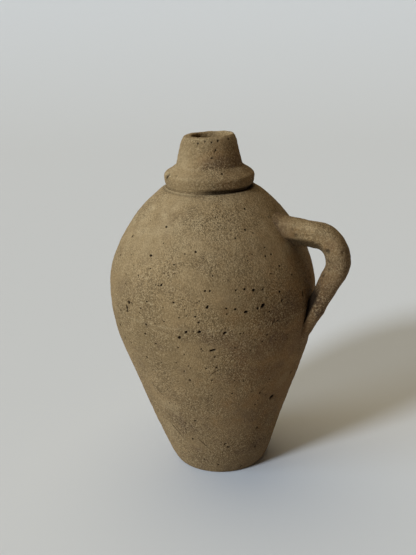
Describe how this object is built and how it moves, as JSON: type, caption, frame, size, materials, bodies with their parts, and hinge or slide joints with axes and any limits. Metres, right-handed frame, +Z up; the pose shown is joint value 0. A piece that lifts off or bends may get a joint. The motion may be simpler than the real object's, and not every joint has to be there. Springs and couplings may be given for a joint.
{
  "type": "one-handled clay jug",
  "caption": "Unglazed wheel-thrown clay jug with an ovoid body, narrow flat foot, stepped collar, tapering mouth and a small loop handle, for storing and pouring oil or wine.",
  "frame": {"origin": "middle of the foot's flat underside, on the axis that the jug was thrown about", "axes": "+Z up that axis to the mouth, +X from the axis towards the handle, +Y completes a right-handed frame"},
  "size_m": [0.2, 0.1688, 0.28],
  "materials": {
    "clay": "matt, unglazed, pitted",
    "luting_clay": "matt, unglazed, smeared"
  },
  "bodies": {
    "root": {"lower_body": "clay", "belly_lute": "luting_clay", "upper_body": "clay", "neck_lute": "luting_clay", "neck": "clay", "handle": "clay", "handle_upper_lute": "luting_clay", "handle_lower_lute": "luting_clay"}
  },
  "joints": []
}
